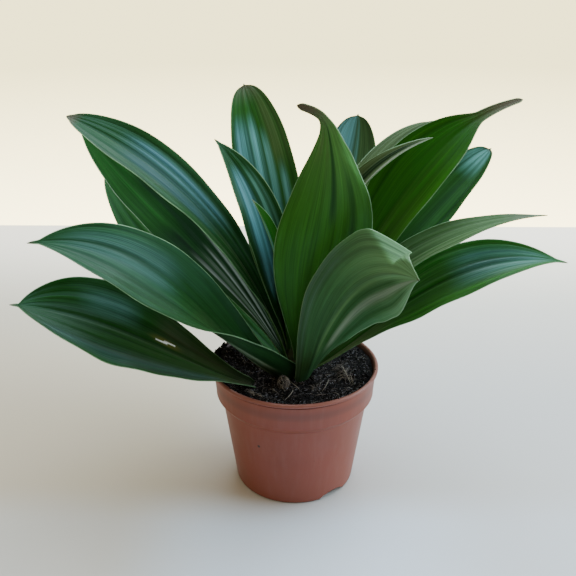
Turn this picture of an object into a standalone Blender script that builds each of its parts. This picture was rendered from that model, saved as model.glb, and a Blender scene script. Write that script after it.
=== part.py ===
"""A potted dracaena: broad channelled leaves on a short cane, in a plastic nursery pot filled with peat.

The origin is the middle of the pot's underside. +Z is up and -Y is the plant's front. Sizes are in millimetres
and angles in degrees; MM turns them into Blender's metres.
"""

import math
from collections import namedtuple
from dataclasses import dataclass

import bmesh
import bpy
import numpy as np
from mathutils import Matrix, Vector

MM = 0.001

# The pot: a 12 cm nursery pot with a rolled lip, a collar and a straight tapering body.
POT_RADIUS = 60.0
POT_HEIGHT = 92.0
LIP_HEIGHT = 4.6
LIP_ROUNDING = 2.1
COLLAR_TOP_RADIUS = 58.4
COLLAR_FOOT_RADIUS = 57.0
COLLAR_FOOT = 71.5
SHOULDER = (55.4, 68.1)
THROAT = (53.7, 66.7)
BODY_TOP = 65.5
BODY_TOP_RADIUS = 52.8
FOOT_RADIUS = 42.6
FOOT_ROUNDING = 2.6
WALL = 1.5
FLOOR_CORNER = 5.0
TURNED_STEPS = 48

# Two low arches in the foot let water out, and so do round holes in the floor.
ARCH_WIDTH = 22.0
ARCH_RISE = 4.0
ARCH_DEPTH = 9.0
ARCH_COURSES = (313.0, 133.0)
FLOOR_HOLES = 6
FLOOR_HOLE_RADIUS = 3.5
FLOOR_HOLE_CIRCLE = 24.0

# The peat, with a gap to the pot and to the cane, and two lumps in its surface.
GAP = 0.35
SOIL_LEVEL = 82.4
SOIL_EDGE = 57.9
SOIL_RELIEF = 0.9
SOIL_RINGS = 7
Lump = namedtuple("Lump", "x y radius height")
LUMPS = (Lump(-8.0, -17.0, 4.5, 2.2), Lump(39.0, -4.0, 7.0, 1.4))

# The cane narrows from one leaf's base to the next.
STEM_FOOT = 20.0
STEM_SHOULDER = 84.0
STEM_TOP = 112.0
STEM_RADIUS = 9.0
STEM_TAPER = 0.19
STEM_STEPS = 24

# The leaves. A leaf's base stands BASE_GAP off the cane.
BLADE_THICKNESS = 0.9
BASE_GAP = 0.9
BASE_WIDTH = 13.0
COURSE_STEPS = 96
SECTION_SLICES = 16
BLADE_ROWS = 16
BLADE_COLUMNS = 6

POT_COLOUR = (0.155, 0.046, 0.034)
SOIL_COLOUR = (0.010, 0.009, 0.010)
STEM_COLOUR = (0.030, 0.055, 0.016)
LEAF_COLOUR = (0.010, 0.045, 0.014)


# A dent that creases one side of the blade: the side (1 is the left, looking out along the leaf), where along
# the leaf, how far it reaches each way at the margin, the share of the half width that it reaches inwards, and
# how far it turns the blade up.
Dent = namedtuple("Dent", "side where reach share turn")
CREASE = 0.2


@dataclass(frozen=True)
class Leaf:
    """One leaf. Its slopes and courses are those of its middle line at the base, halfway and at the tip, and its
    rolls turn the blade about that line at the same places. A slope is measured up from the level, and a
    course from +X towards +Y. Its margins meet in a point where blunt is 1, and round off where it is less.
    The drip tip takes the last share, drip, of the length, and starts at a neck, from where it narrows to the
    share neck_end. The base wraps the cane, and opens by the share opens of the length. A leaf whose base lies
    in the peat has a reach: how far from the plant's axis it comes out."""

    name: str
    height: float
    length: float
    width: float
    slopes: tuple
    courses: tuple
    rolls: tuple = (0, 0, 0)
    widest: float = 0.5
    base: float = BASE_WIDTH
    spread: float = 1.0
    point: float = 1.9
    fold: float = 22.0
    tip_fold: float = 26.0
    blunt: float = 1.0
    drip: float = 0.03
    drip_turn: float = 0.0
    drip_lift: float = 0.0
    neck: float = 4.2
    neck_end: float = 0.25
    opens: float = 0.35
    reach: float = None
    dent: Dent = None


LEAVES = (
    Leaf("leaf_left_low", 83.1, 172, 66, (31, 35, 12), (208, 203, 199), rolls=(-10, -27, -22),
         widest=0.62, base=14, spread=1.4, point=2.2, blunt=0.75, reach=37),
    Leaf("leaf_left_broad", 83.4, 206, 63, (37, 47.5, -1), (225, 198, 199), rolls=(12, -22, -38),
         widest=0.54, base=36, spread=1.2, blunt=0.9, opens=0.7, reach=14),
    Leaf("leaf_left_rear", 87, 217, 64, (26, 34, 34), (137, 147, 149), rolls=(0, -25, -25), base=9,
         spread=1.4, blunt=0.75),
    Leaf("leaf_left_inner", 93, 235, 62, (55, 39.5, 34), (150, 153, 160), rolls=(0, -15, -30),
         widest=0.55, spread=1.7, blunt=0.8),
    Leaf("leaf_left_long", 97, 229, 41, (75.5, 46.5, 30), (172, 172, 172), rolls=(0, -18, -30),
         widest=0.68, spread=1.4, blunt=0.7),
    Leaf("leaf_back_left", 102.5, 190, 44, (78, 71, 52), (120, 120, 120), rolls=(0, -25, -25),
         base=10, spread=1.3, point=2.6, blunt=0.5, drip=0.01),
    Leaf("leaf_inner_left", 105, 156, 33, (77.5, 73.5, 37), (152, 152, 152), rolls=(0, -25, -25),
         base=8, spread=1.3, blunt=0.8),
    Leaf("leaf_young_left", 108, 110, 27, (85, 81, 56), (190, 190, 190), rolls=(0, -20, -20),
         base=10, blunt=0.8),
    Leaf("leaf_front_tall", 100, 200, 61, (80, 71.5, 76), (303, 293, 212), rolls=(0, -25, -10),
         widest=0.45, base=10, spread=1.3, drip=0.08, drip_turn=-40, drip_lift=-60, neck=11, neck_end=0.5),
    Leaf("leaf_front_bent", 86, 175, 56, (64, 51, 1), (299, 299, 299), rolls=(0, -65, -85),
         widest=0.72, base=15, spread=1.2, drip=0.01, reach=15, dent=Dent(-1, 0.87, 0.1, 0.9, 60)),
    Leaf("leaf_right_low", 84.5, 198, 54, (37, 39, -8), (350, 347, 347), rolls=(0, 20, 22),
         widest=0.6, base=10, spread=1.6),
    Leaf("leaf_right_arching", 91, 200, 42, (61, 41, 6), (350, 350, 350), rolls=(0, 10, 0),
         spread=1.4),
    Leaf("leaf_right_rear", 88, 209, 42, (53, 43, 34), (26, 26, 26), rolls=(0, 25, 25),
         base=11, spread=1.6, point=2.8, blunt=0.6, fold=28, tip_fold=60, drip=0.01),
    Leaf("leaf_right_large", 95.5, 233, 60, (59, 60, 22), (4.5, 4.5, 4.5), rolls=(0, 21, 38),
         widest=0.58, spread=2.4, drip=0.13, drip_lift=-8, neck=12, neck_end=0.2),
    Leaf("leaf_back_curling", 100.5, 211, 28, (62, 52, 6), (49, 45, 36), rolls=(0, 15, 20),
         base=8, spread=1.8, blunt=0.7),
    Leaf("leaf_back_right", 98.5, 183, 50, (64, 52, 77), (63, 63, 63), rolls=(0, 10, 0),
         base=10, spread=1.8, point=2.4, blunt=0.6, drip=0.01),
    Leaf("leaf_young_channelled", 106, 179, 26, (81, 67, 14), (2, 2, 2), rolls=(0, 20, 20),
         base=9, spread=1.6, fold=45),
    Leaf("leaf_spear", 110, 137, 12, (98, 71, 62), (355, 355, 355),
         base=6, fold=80),
)


def clear_scene():
    for thing in list(bpy.data.objects):
        bpy.data.objects.remove(thing, do_unlink=True)


def material(name, colour, roughness, metallic=0.0):
    made = bpy.data.materials.new(name)
    made.use_nodes = True
    surface = made.node_tree.nodes["Principled BSDF"]
    surface.inputs["Base Color"].default_value = (*colour, 1.0)
    surface.inputs["Roughness"].default_value = roughness
    surface.inputs["Metallic"].default_value = metallic
    made.diffuse_color = (*colour, 1.0)
    return made


def add_object(name, mesh, finish=None):
    made = bpy.data.objects.new(name, mesh)
    bpy.context.scene.collection.objects.link(made)
    if finish:
        mesh.materials.append(finish)
        mesh.shade_smooth()
        mesh.set_sharp_from_angle(angle=math.radians(35))
    return made


def arc(centre, radius, start, end, steps):
    """Points (radius, height) round an arc, in degrees from the outward direction up."""
    turns = [math.radians(start + (end - start) * k / steps) for k in range(steps + 1)]
    return [(centre[0] + radius * math.cos(t), centre[1] + radius * math.sin(t)) for t in turns]


def turned(name, profile, steps, finish, shape=None):
    """The profile's points (radius, height), turned round the Z axis, and then moved by shape, if given."""
    work = bmesh.new()
    points = [work.verts.new((r * MM, 0, z * MM)) for r, z in profile]
    edges = [work.edges.new(pair) for pair in zip(points, points[1:])]
    bmesh.ops.spin(
        work,
        geom=points + edges,
        axis=(0, 0, 1),
        cent=(0, 0, 0),
        angle=2 * math.pi,
        steps=steps,
        use_merge=True,
    )
    bmesh.ops.remove_doubles(work, verts=work.verts, dist=0.01 * MM)
    bmesh.ops.recalc_face_normals(work, faces=work.faces)
    if shape:
        for vert in work.verts:
            vert.co = shape(vert.co)
    mesh = bpy.data.meshes.new(name)
    work.to_mesh(mesh)
    work.free()
    return add_object(name, mesh, finish)


def body_radius(height):
    """The outer radius of the pot's straight body at a height."""
    return FOOT_RADIUS + (BODY_TOP_RADIUS - FOOT_RADIUS) * height / BODY_TOP


def pot_outside():
    """The outer profile from the top of the lip down to the middle of the underside."""
    lip_middle = (POT_RADIUS - LIP_ROUNDING, POT_HEIGHT - LIP_ROUNDING)
    foot_middle = (body_radius(FOOT_ROUNDING) - FOOT_ROUNDING, FOOT_ROUNDING)
    return (
        arc(lip_middle, LIP_ROUNDING, 90, -40, 4)
        + [(COLLAR_TOP_RADIUS, POT_HEIGHT - LIP_HEIGHT), (COLLAR_FOOT_RADIUS, COLLAR_FOOT)]
        + [SHOULDER, THROAT, (BODY_TOP_RADIUS, BODY_TOP)]
        + arc(foot_middle, FOOT_ROUNDING, -4, -90, 3)
        + [(0, 0)]
    )


def pot_inside(inset):
    """The inner profile from the middle of the floor up to under the lip, drawn in by inset."""
    away = WALL + inset
    return [
        (0, away),
        (FOOT_RADIUS - FOOT_ROUNDING - inset, away),
        (body_radius(FLOOR_CORNER) - away, FLOOR_CORNER + inset),
        (BODY_TOP_RADIUS - away, BODY_TOP),
        (COLLAR_FOOT_RADIUS - away, COLLAR_FOOT),
        (SOIL_EDGE - away, SOIL_LEVEL),
    ]


def cylinder_into(work, radius, length, matrix):
    bmesh.ops.create_cone(
        work,
        cap_ends=True,
        segments=24,
        radius1=radius * MM,
        radius2=radius * MM,
        depth=length * MM,
        matrix=matrix,
    )


def drain_cutter():
    """The arches in the foot and the holes in the floor, as one cutter."""
    work = bmesh.new()
    arch_radius = ((ARCH_WIDTH / 2) ** 2 + ARCH_RISE**2) / (2 * ARCH_RISE)
    for course in ARCH_COURSES:
        place = (
            Matrix.Rotation(math.radians(course), 4, "Z")
            @ Matrix.Translation(Vector((FOOT_RADIUS, 0, ARCH_RISE - arch_radius)) * MM)
            @ Matrix.Rotation(math.radians(90), 4, "Y")
        )
        cylinder_into(work, arch_radius, 2 * ARCH_DEPTH, place)
    for k in range(FLOOR_HOLES):
        place = (
            Matrix.Rotation(math.radians(360 * k / FLOOR_HOLES), 4, "Z")
            @ Matrix.Translation(Vector((FLOOR_HOLE_CIRCLE, 0, 0)) * MM)
        )
        cylinder_into(work, FLOOR_HOLE_RADIUS, 4 * WALL, place)
    mesh = bpy.data.meshes.new("drain_cutter")
    work.to_mesh(mesh)
    work.free()
    cutter = add_object("drain_cutter", mesh)
    cutter.hide_render = True
    cutter.display_type = "WIRE"
    return cutter


def build_pot():
    finish = material("pot", POT_COLOUR, 0.5)
    mouth = [(COLLAR_TOP_RADIUS - WALL, POT_HEIGHT - LIP_ROUNDING / 2)]
    pot = turned("pot", pot_inside(0) + mouth + pot_outside(), TURNED_STEPS, finish)
    drains = pot.modifiers.new("drains", "BOOLEAN")
    drains.operation = "DIFFERENCE"
    drains.object = drain_cutter()


def soil_height(x, y):
    """The height of the peat's surface at a place, with its relief and lumps."""
    waves = math.sin(0.17 * x + 1.1) * math.cos(0.21 * y) + 0.6 * math.sin(0.43 * x - 0.31 * y)
    lumps = sum(
        lump.height * math.exp(-((x - lump.x) ** 2 + (y - lump.y) ** 2) / lump.radius**2) for lump in LUMPS
    )
    return SOIL_LEVEL + SOIL_RELIEF * waves / 1.6 + lumps


def raise_soil(point):
    """Moves a point of the peat's level top to its real height."""
    x, y, z = point / MM
    if z < SOIL_LEVEL - 0.1:
        return point
    edge = SOIL_EDGE - WALL - GAP
    calm = min(1.0, (edge - math.hypot(x, y)) / 4 + 0.1)
    return Vector((x, y, SOIL_LEVEL + (soil_height(x, y) - SOIL_LEVEL) * calm)) * MM


def build_soil():
    finish = material("soil", SOIL_COLOUR, 0.95)
    hole = STEM_RADIUS + GAP
    hole_floor = STEM_FOOT - GAP
    side = pot_inside(GAP)
    edge = side[-1][0]
    top = [(hole + (edge - hole) * k / SOIL_RINGS, SOIL_LEVEL) for k in range(SOIL_RINGS)]
    profile = [(0, hole_floor), (hole, hole_floor)] + top + side[::-1]
    turned("soil", profile, TURNED_STEPS, finish, raise_soil)


def stem_radius(height):
    """The cane's radius at a height above its shoulder."""
    return STEM_RADIUS - STEM_TAPER * (height - STEM_SHOULDER)


def build_stem():
    finish = material("stem", STEM_COLOUR, 0.6)
    top = stem_radius(STEM_TOP)
    profile = [
        (0, STEM_TOP + 0.3 * top),
        (0.7 * top, STEM_TOP + 0.2 * top),
        (top, STEM_TOP),
        (STEM_RADIUS, STEM_SHOULDER),
        (STEM_RADIUS, STEM_FOOT),
        (0, STEM_FOOT),
    ]
    turned("stem", profile, STEM_STEPS, finish)


def smooth(x):
    x = np.clip(x, 0, 1)
    return x * x * (3 - 2 * x)


def through(values, s):
    """The parabola through the values at the base, halfway and at the tip."""
    a, b, c = values
    return a + (4 * b - 3 * a - c) * s + 2 * (a - 2 * b + c) * s**2


def base_reach(leaf):
    """How far the middle of the leaf's base stands from the plant's axis."""
    return leaf.reach or stem_radius(leaf.height) + BASE_GAP


def half_width(leaf, s):
    """The blade widens from its base, narrows to a point, and ends in a slender drip tip."""
    widest = leaf.widest
    rising = np.sin(np.pi / 2 * np.clip(s / widest, 0, 1)) ** leaf.spread
    outer = np.clip((s - widest) / (1 - leaf.drip - widest), 0, 1)
    body = np.where(
        s < widest,
        leaf.base + (leaf.width - leaf.base) * rising,
        leaf.width * (1 - outer**leaf.point) ** leaf.blunt,
    )
    taper = leaf.neck_end + (1 - leaf.neck_end) * np.clip((1 - s) / (1.6 * leaf.drip), 0, 1)
    drip = leaf.neck * taper * smooth((s - widest) / 0.2)
    return np.sqrt(body**2 + np.where(s > widest, drip, 0) ** 2) / 2


def dent_angle(dent, s, v):
    """How far the dent turns the blade at v. Its crease runs from the margin inwards and back, in a V."""
    crease = 1 - dent.share * np.clip(1 - np.abs(s - dent.where) / dent.reach, 0, 1)
    return dent.side * np.radians(dent.turn) * smooth((v * dent.side - crease) / CREASE)


def section(leaf, s, u, half, fold):
    """How far a point at u lies across the blade, and how far above its middle line."""
    across = np.zeros_like(u)
    above = np.zeros_like(u)
    for k in range(SECTION_SLICES):
        v = u * (k + 0.5) / SECTION_SLICES
        angle = fold * v
        if leaf.dent:
            angle = angle + dent_angle(leaf.dent, s, v)
        across = across + np.cos(angle) * half * u / SECTION_SLICES
        above = above + np.sin(angle) * half * u / SECTION_SLICES
    return across, above


def middle_line(leaf):
    """The middle line's points, slopes and courses, in the leaf's own frame: its base is at the origin and its
    first course is +X."""
    t = np.linspace(0, 1, COURSE_STEPS + 1)
    late = smooth((t - 1 + 2 * leaf.drip) / (2 * leaf.drip))
    slope = np.radians(through(leaf.slopes, t) + leaf.drip_lift * late)
    course = np.radians(through(leaf.courses, t) - leaf.courses[0] + leaf.drip_turn * late)
    ways = np.stack([np.cos(slope) * np.cos(course), np.cos(slope) * np.sin(course), np.sin(slope)], 1)
    steps = 0.5 * (ways[1:] + ways[:-1]) * leaf.length / COURSE_STEPS
    return t, np.vstack([np.zeros(3), np.cumsum(steps, 0)]), slope, course


def blade(leaf, s, u):
    """Points of the blade's middle surface: s runs from the base to the tip, and u from the right margin at -1
    to the left one at 1, looking out along the leaf."""
    t, line, slopes, courses = middle_line(leaf)
    at = np.stack([np.interp(s, t, line[:, k]) for k in range(3)], -1)
    slope = np.interp(s, t, slopes)
    course = np.interp(s, t, courses)
    along = np.stack([np.cos(slope) * np.cos(course), np.cos(slope) * np.sin(course), np.sin(slope)], -1)
    left = np.stack([-np.sin(course), np.cos(course), np.zeros_like(course)], -1)
    up = np.cross(along, left)
    roll = np.radians(through(leaf.rolls, s))[..., None]
    rolled_left = np.cos(roll) * left + np.sin(roll) * up
    rolled_up = np.cos(roll) * up - np.sin(roll) * left
    base_fold = np.degrees(0.5 * leaf.base / (stem_radius(leaf.height) + BASE_GAP))
    fold = (
        leaf.fold
        + (base_fold - leaf.fold) * (1 - smooth(s / leaf.opens))
        + (leaf.tip_fold - leaf.fold) * smooth((s - 0.7) / 0.3)
    )
    across, above = section(leaf, s, u, half_width(leaf, s), np.radians(fold))
    return at + rolled_left * across[..., None] + rolled_up * above[..., None]


def leaf_mesh(leaf):
    """A closed solid round the blade's middle surface. Both faces are split into triangles alike."""
    s, u = np.meshgrid(
        np.linspace(0, 1, BLADE_ROWS + 1), np.linspace(-1, 1, BLADE_COLUMNS + 1), indexing="ij"
    )
    middle = blade(leaf, s, u)
    normal = np.cross(np.gradient(middle, axis=0), np.gradient(middle, axis=1))
    normal /= np.linalg.norm(normal, axis=-1)[..., None]
    upper = (middle + normal * BLADE_THICKNESS / 2).reshape(-1, 3)
    under = (middle - normal * BLADE_THICKNESS / 2).reshape(-1, 3)

    def corner(row, column):
        return row * (BLADE_COLUMNS + 1) + column

    faces = []
    for row in range(BLADE_ROWS):
        for column in range(BLADE_COLUMNS):
            a = corner(row, column)
            b = corner(row + 1, column)
            c = corner(row + 1, column + 1)
            d = corner(row, column + 1)
            if column < BLADE_COLUMNS // 2:
                faces += [(a, b, c), (a, c, d)]
            else:
                faces += [(a, b, d), (b, c, d)]
    below = len(upper)
    faces += [tuple(k + below for k in reversed(face)) for face in faces]
    rim = (
        [corner(row, 0) for row in range(BLADE_ROWS)]
        + [corner(BLADE_ROWS, column) for column in range(BLADE_COLUMNS)]
        + [corner(row, BLADE_COLUMNS) for row in range(BLADE_ROWS, 0, -1)]
        + [corner(0, column) for column in range(BLADE_COLUMNS, 0, -1)]
    )
    for here, after in zip(rim, rim[1:] + rim[:1]):
        faces += [(here, here + below, after + below), (here, after + below, after)]
    mesh = bpy.data.meshes.new(leaf.name)
    mesh.from_pydata((np.concatenate([upper, under]) * MM).tolist(), [], faces)
    return mesh


def build_leaf(leaf):
    shade = 1 + 0.25 * math.sin(leaf.height * leaf.length)
    colour = tuple(shade * channel for channel in LEAF_COLOUR)
    made = add_object(leaf.name, leaf_mesh(leaf), material(leaf.name, colour, 0.35))
    reach = base_reach(leaf)
    course = math.radians(leaf.courses[0])
    made.location = Vector((reach * math.cos(course), reach * math.sin(course), leaf.height)) * MM
    made.rotation_euler.z = course


def build():
    clear_scene()
    build_pot()
    build_soil()
    build_stem()
    for leaf in LEAVES:
        build_leaf(leaf)


build()
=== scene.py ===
"""The looks of a potted dracaena: pleated waxy leaves, a moulded plastic pot, and peat with its fibres.

The origin is the middle of the pot's underside. +Z is up and -Y is the plant's front. Sizes are in
millimetres and angles in degrees; MM turns them into metres. Colours are linear.
"""

import math
import random
from collections import namedtuple
from dataclasses import dataclass

import bmesh
import bpy
import numpy as np
from mathutils import Matrix, Vector


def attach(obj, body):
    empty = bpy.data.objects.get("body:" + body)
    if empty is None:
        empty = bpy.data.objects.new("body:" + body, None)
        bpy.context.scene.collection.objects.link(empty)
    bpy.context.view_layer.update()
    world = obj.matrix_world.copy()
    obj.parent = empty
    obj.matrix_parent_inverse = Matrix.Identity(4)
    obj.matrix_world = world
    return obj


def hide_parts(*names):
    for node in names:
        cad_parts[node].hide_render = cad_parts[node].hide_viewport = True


MM = 0.001

# The camera, and how high it stands over the surface.
EYE = (0.0, -458.0, 345.0)
LOOK_DOWN = 23.13
LOOK_RIGHT = -0.62
FOCAL_LENGTH = 45.0
SENSOR = 36.0

# The floor, its colours, and how strongly its far edge glows. The colours and the glow are painted light:
# warm at the left, cool at the right, bright and bluish in front, and pale at the back.
FLOOR_SIZE = 1180.0
FLOOR_DROP = 0.02
FLOOR_LEFT_PAINTED_WARM = (0.60, 0.51, 0.39)
FLOOR_RIGHT_PAINTED_COOL = (0.62, 0.605, 0.61)
FLOOR_FRONT_PAINTED_LIGHT = (0.76, 0.85, 1.0)
FLOOR_BACK_PAINTED_LIGHT = (0.97, 0.90, 0.78)
FAR_PAINTED_GLOW = 1.0

# What shows past the floor: its colours, where it changes between them, and the dimmer light from all round.
BACKDROP_HIGH = (0.45, 0.40, 0.20)
BACKDROP_LOW = (1.0, 0.87, 0.48)
BACKDROP_STRENGTH = 7.5
BACKDROP_HEIGHTS = (-0.10, -0.31)
AMBIENT = (1.0, 0.84, 0.54)
AMBIENT_STRENGTH = 0.52

# Soft lamps: where each stands, what it is aimed at, its width and height, power and colour.
Lamp = namedtuple("Lamp", "name at aim width height power colour")
LAMPS = (
    Lamp("sky", (200, 500, 1250), (0, 200, 0), 1600, 1500, 38, (0.74, 0.90, 1.0)),
    Lamp("window", (1200, 50, 500), (0, 0, 150), 1000, 1000, 18, (0.68, 0.88, 1.0)),
)

# The pot. Its lip, collar and body are those of a 12 cm nursery pot.
POT_RADIUS = 60.0
POT_HEIGHT = 92.0
LIP_HEIGHT = 3.4
LIP_ROUNDING = 1.5
COLLAR_TOP_RADIUS = 58.4
COLLAR_FOOT_RADIUS = 57.0
COLLAR_FOOT = 71.5
COLLAR_ROUNDING = 2.0
BODY_TOP = 65.5
BODY_TOP_RADIUS = 52.8
SHOULDER_ROUNDING = 1.5
FOOT_RADIUS = 43.8
FOOT_ROUNDING = 1.5
FLOOR_SLOPE_TOP = 5.0
WALL = 1.5
POT_STEPS = 192
ARCH_WIDTH = 24.0
ARCH_RISE = 5.2
ARCH_DEPTH = 9.0
ARCH_COURSES = (309.0, 129.0)
FLOOR_HOLES = 6
FLOOR_HOLE_RADIUS = 3.5
FLOOR_HOLE_CIRCLE = 24.0
CUTTER_SIDES = 48
SHARP_ANGLE = 40.0

# The pot's plastic: its two tones, faint streaks and flecks, a paler tone at its foot, a painted highlight
# along its lip, painted shade inside, in the crease under the lip and at the very foot, a dark speck, and the
# radii between which the inside's painted shade fades.
PLASTIC_DEEP = (0.205, 0.041, 0.020)
PLASTIC_CLEAR = (0.232, 0.048, 0.026)
PLASTIC_STREAK = (0.26, 0.095, 0.072)
PLASTIC_FLECK = (0.10, 0.035, 0.028)
PLASTIC_FOOT = (0.26, 0.080, 0.055)
PLASTIC_LIP_HIGHLIGHT = (0.27, 0.125, 0.105)
PLASTIC_INSIDE_SHADE = (0.040, 0.014, 0.011)
PLASTIC_SHADE = (0.030, 0.010, 0.008)
SPECK_COLOUR = (0.012, 0.006, 0.006)
SPECK = (-24.6, -44.1, 49.3)
SPECK_RADIUS = 1.3
INSIDE_RADII = (57.3, 58.1)

# The peat. It banks up at the back, from a radius and a place along Y, and has lumps.
GAP = 0.35
SOIL_LEVEL = 82.4
SOIL_EDGE_RADIUS = 56.05
SOIL_FOOT_RADIUS = 51.0
SOIL_SKIRT = 12.0
SOIL_RELIEF = 0.9
SOIL_GRAIN = 0.75
SOIL_RINGS = 64
SOIL_STEPS = 260
BANK = 6.0
BANK_RADIUS = 26.0
BANK_START = -22.0
BANK_RUN = 30.0
Lump = namedtuple("Lump", "x y radius height")
LUMPS = (Lump(-8.0, -19.0, 3.6, 3.4), Lump(36.0, -5.0, 7.0, 1.8), Lump(-51.0, 15.0, 11.0, 4.2))

# The waves that make the peat's grain: how long each is, and how strong.
GRAIN_WAVES = ((9, 0.5), (5, 0.45), (3.2, 0.4), (2.1, 0.35), (1.5, 0.3))

# The peat's tones, from the deep ones to the pale ones, and its grey bits.
PEAT_TONES = (
    (0.35, (0.0008, 0.0007, 0.0014)),
    (0.56, (0.0020, 0.0016, 0.0030)),
    (0.66, (0.010, 0.009, 0.011)),
    (0.76, (0.060, 0.054, 0.056)),
)
PEAT_BIT = (0.15, 0.14, 0.145)

# Crumbs of peat: how many lie in the pot, on its lip, and spilt over the lip between two courses.
CRUMBS = 2600
LIP_CRUMBS = 46
SPILT_CRUMBS = 260
SPILL_COURSES = (146, 186)

# A little over a full turn, in radians.
FULL_TURN = 6.3

# Fibres in the peat, and how near the pot and the cane they may come.
FINE_FIBRES = 900
PALE_FIBRES = 60
FLECKS = 1500
FIBRE_STEPS = 9
FLECK_STEPS = 3
FIBRE_EDGE = SOIL_EDGE_RADIUS - 0.8
FIBRE_HOLE = 10.0
MARKED_RADIUS = 0.24
MARKED_STEPS = 12
PALE = (0.42, 0.37, 0.32)
STRAW = (0.20, 0.170, 0.16)
GREY_BROWN = (0.075, 0.068, 0.066)
DARK_FIBRE = (0.010, 0.008, 0.009)
FLECK = (0.32, 0.31, 0.36)

# Fibres that stand out in the peat: the ends on the plan, how far they bow sideways and up, and the colour.
MARKED_FIBRES = (
    ((-1.2, -24.7), (-6.8, -38.0), 1.8, 1.4, PALE),
    ((-3.7, -11.5), (3.9, -25.7), -1.0, 1.8, PALE),
    ((24.1, -10.8), (19.0, -25.6), 1.4, 1.6, PALE),
    ((20.5, -14.0), (17.5, -22.0), -1.0, 0.8, STRAW),
    ((9.6, -43.1), (17.1, -39.3), -0.8, 1.0, STRAW),
    ((32.0, 4.0), (36.0, -16.0), 1.5, 2.4, STRAW),
    ((34.0, 6.0), (40.0, -17.0), -1.5, 2.8, PALE),
    ((14.0, -32.0), (23.0, -30.0), 0.9, 0.9, STRAW),
    ((27.0, -28.0), (31.0, -34.0), 0.7, 0.9, STRAW),
)

# Clumps of fibres: the middle on the plan, the length and width of the patch, the way the fibres run, how
# many there are, how long each is, and the colours they are drawn from.
Tuft = namedtuple("Tuft", "x y length width course count fibre shades")
TUFTS = (
    Tuft(34.5, -4.0, 17, 6, 100, 60, (5, 11), (GREY_BROWN, STRAW, STRAW)),
    Tuft(38.5, -10.0, 12, 4, 115, 24, (4, 8), (GREY_BROWN, STRAW, PALE)),
    Tuft(-29.0, -30.5, 12, 3, -28, 34, (1.5, 4), (STRAW, PALE, PALE)),
    Tuft(-14.0, -12.0, 10, 4, 20, 30, (2, 5), (GREY_BROWN, STRAW)),
    Tuft(13.0, -24.0, 10, 4, 60, 22, (2, 6), (GREY_BROWN, STRAW)),
)

# The matted roots round the first lump: how many strands, the half sizes of the egg that they are wound on,
# and how high its middle is over the peat's level.
WOUND_STRANDS = 240
EGG = (4.5, 4.5, 7.0)
EGG_LIFT = 1.5

# The cane.
STEM_FOOT = 76.0
STEM_SHOULDER = 84.0
STEM_TOP = 112.0
STEM_RADIUS = 9.0
STEM_TAPER = 0.19
STEM_RING = 4.0
STEM_RING_DEPTH = 0.35
STEM_ROWS = 90
STEM_STEPS = 64
CANE_GREEN = (0.020, 0.040, 0.012)
CANE_BROWN = (0.060, 0.065, 0.030)

# The leaves' blades.
BASE_GAP = 0.9
BASE_WIDTH = 13.0
COURSE_STEPS = 192
SECTION_SLICES = 16
BLADE_ROWS = 150
BLADE_COLUMNS = 30
HEM = 0.55
MARGIN_THICKNESS = 0.32
RIB_THICKNESS = 0.6
BASE_THICKNESS = 0.4
RIB_GROOVE = 0.55
RIB_WIDTH = 1.5
# Painted shade along the midrib's groove: its half width, and how far it darkens the upper side and the
# underside.
RIB_SHADE_WIDTH = 1.1
RIB_SHADE = 0.45
RIB_SHADE_UNDER = 0.15
PLEAT_COUNTS = (3, 5, 7, 10)
# How far painted light and shade on the pleats vary a face's colour: paler on the ridges, darker in the
# troughs.
PLEAT_PAINTED_SHADE = 0.16
RUFFLE_COUNTS = (1.7, 3.1, 5.3)
END_ROUNDING = 2.5

# How far a blade's base runs on into the cane or the peat, and the share of its width that it loses there.
SUNK = 12.0
SUNK_TAPER = 0.7

# Colours of leaf tissue, and of the painted shade, light and reflections laid over it.
GREEN = (0.0085, 0.051, 0.0065)
BLUE_GREEN = (0.0100, 0.053, 0.0115)
MID_GREEN = (0.0130, 0.064, 0.0085)
BACK_GREEN = (0.020, 0.100, 0.014)
GREY_GREEN = (0.072, 0.150, 0.058)
OLIVE = (0.030, 0.052, 0.014)
SHADED_GREEN = (0.0080, 0.038, 0.0078)
BROWN_SHADE = (0.034, 0.050, 0.018)
# The fresh leaf's own saturated green with painted light in it: the glow of light shining through the blade.
FRESH_BACKLIT_GREEN = (0.0125, 0.085, 0.0010)
DARK_GREEN = (0.0072, 0.049, 0.0058)
BRIGHT_GREEN = (0.024, 0.125, 0.014)
DEEP_SHADE = (0.0025, 0.014, 0.0025)
OLIVE_PALE = (0.066, 0.105, 0.042)
YELLOWED = (0.068, 0.135, 0.045)
BACK_OLIVE = (0.050, 0.110, 0.042)
PALE_GREY = (0.22, 0.24, 0.19)
# Grey streaks of painted reflection in the dark channel of a leaf.
CHANNEL_REFLECTION_GREY = (0.21, 0.24, 0.21)
TIP_GREY = (0.130, 0.145, 0.110)
STREAK_PALE = (0.095, 0.200, 0.060)
STREAK_SOFT = (0.070, 0.155, 0.055)
STREAK_GREY = (0.170, 0.230, 0.160)
STREAK_BLUE = (0.060, 0.130, 0.085)
STREAK_DARK = (0.015, 0.060, 0.011)
UNDER_GREEN = (0.028, 0.135, 0.012)
UNDER_GREY = (0.046, 0.135, 0.050)
UNDER_PALE = (0.050, 0.060, 0.040)
HEM_GREEN = (0.15, 0.31, 0.15)
BROWN = (0.090, 0.078, 0.050)
YELLOWED_EDGE = (0.14, 0.13, 0.016)

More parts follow.
